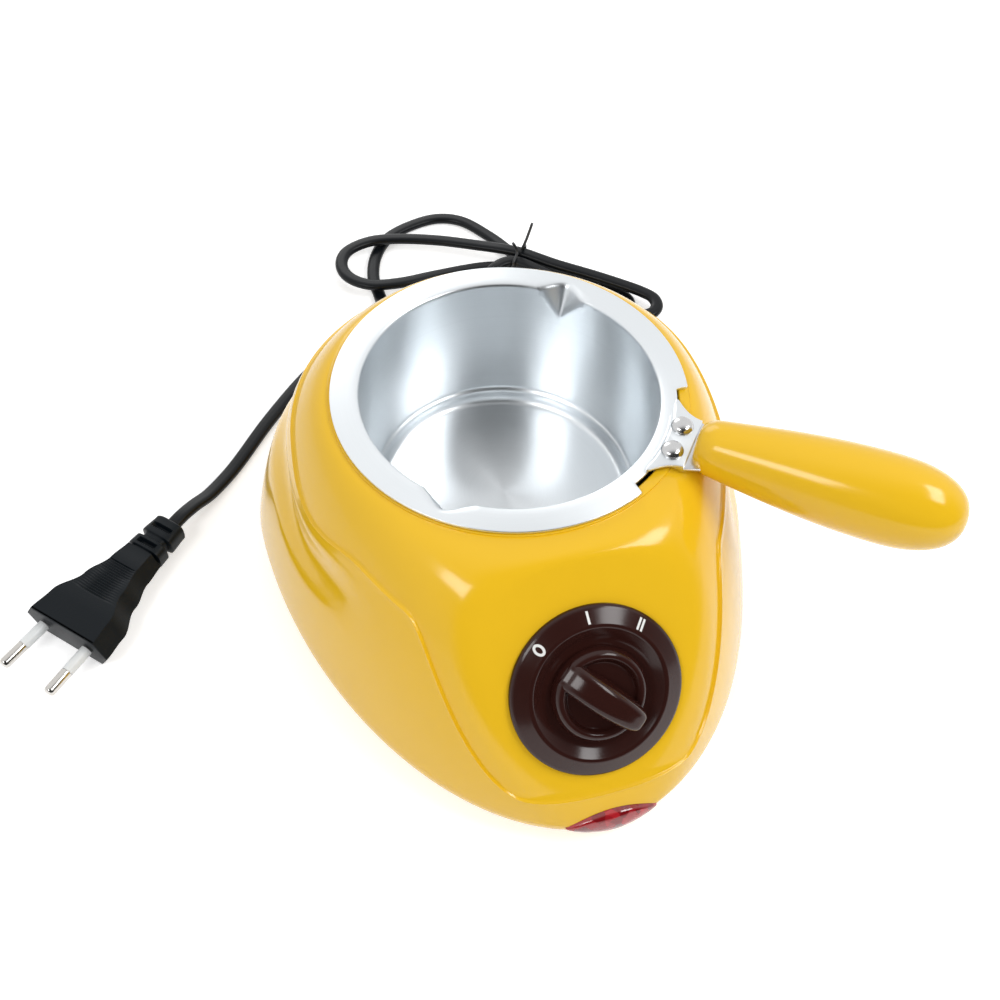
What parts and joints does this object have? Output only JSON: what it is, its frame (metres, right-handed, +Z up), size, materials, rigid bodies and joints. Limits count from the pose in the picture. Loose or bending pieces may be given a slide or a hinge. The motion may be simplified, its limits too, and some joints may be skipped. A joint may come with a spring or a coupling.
{
  "type": "electric chocolate melting pot",
  "caption": "Countertop warmer with a lift-off flanged metal pot, side handle, rotary switch in a leaning panel, pilot light and tied mains cord.",
  "frame": {"origin": "on the table plane under the axis of the pot, at the middle of the base plate", "axes": "+Z up along the pot's axis, -Y to the front with the dial and the pilot light, +X to the right, the side of the handle; +Y is the rear, where the cord leaves"},
  "size_m": [0.286, 0.3041, 0.0975],
  "materials": {
    "yellow_plastic": "gloss",
    "brown_plastic": "gloss",
    "handle_plastic": "gloss",
    "pot_metal": "brushed",
    "bracket_metal": "satin",
    "rivet_metal": "polished",
    "zinc_steel": "satin",
    "plate_metal": "cast",
    "brass": "satin",
    "pale_plastic": "matte",
    "base_plastic": "matte",
    "red_lens": "clear gloss",
    "lamp_glass": "clear",
    "mica": "matte",
    "cord_rubber": "satin",
    "foot_rubber": "matte",
    "plug_plastic": "satin",
    "tie_plastic": "satin",
    "pin_metal": "polished"
  },
  "bodies": {
    "base": {"upper_shell": "yellow_plastic", "base_plate": "base_plastic", "rubber_feet": "foot_rubber", "base_screws": "zinc_steel", "dial_bezel": "brown_plastic", "switch_bracket": "zinc_steel", "switch_body": "pale_plastic", "switch_nut": "zinc_steel", "switch_terminals": "brass", "switch_screws": "zinc_steel", "indicator_lens": "red_lens", "neon_lamp": "lamp_glass", "lamp_resistor": "pale_plastic", "heater_well": "zinc_steel", "well_screws": "zinc_steel", "heating_plate": "plate_metal", "mica_heater": "mica", "clamp_plate": "zinc_steel", "clamp_nut": "zinc_steel", "thermal_cutout": "pale_plastic", "cutout_rivets": "rivet_metal", "terminal_block": "pale_plastic", "cord_clamp": "pale_plastic", "clamp_screws": "zinc_steel", "cord_grommet": "cord_rubber", "inner_cord": "cord_rubber", "cord_lead": "cord_rubber", "cord_hank": "cord_rubber", "cord_run": "cord_rubber", "twist_tie": "tie_plastic", "plug_body": "plug_plastic", "plug_pins": "pin_metal", "pin_sleeves": "pale_plastic"},
    "pot": {"pot_bowl": "pot_metal", "handle_bracket": "bracket_metal", "rivets": "rivet_metal", "handle_grip": "handle_plastic", "handle_screw": "zinc_steel"},
    "knob": {"knob": "brown_plastic", "switch_shaft": "pale_plastic"}
  },
  "joints": [
    {"name": "pot_lift", "type": "slide", "parent": "base", "child": "pot", "axis": [0, 0, 1], "range_m": [0, 0.09]},
    {"name": "knob_turn", "type": "hinge", "parent": "base", "child": "knob", "pos_m": [0, -0.0909, 0.0463], "axis": [0, 0.7688, -0.6394], "range_deg": [0, 84]}
  ]
}
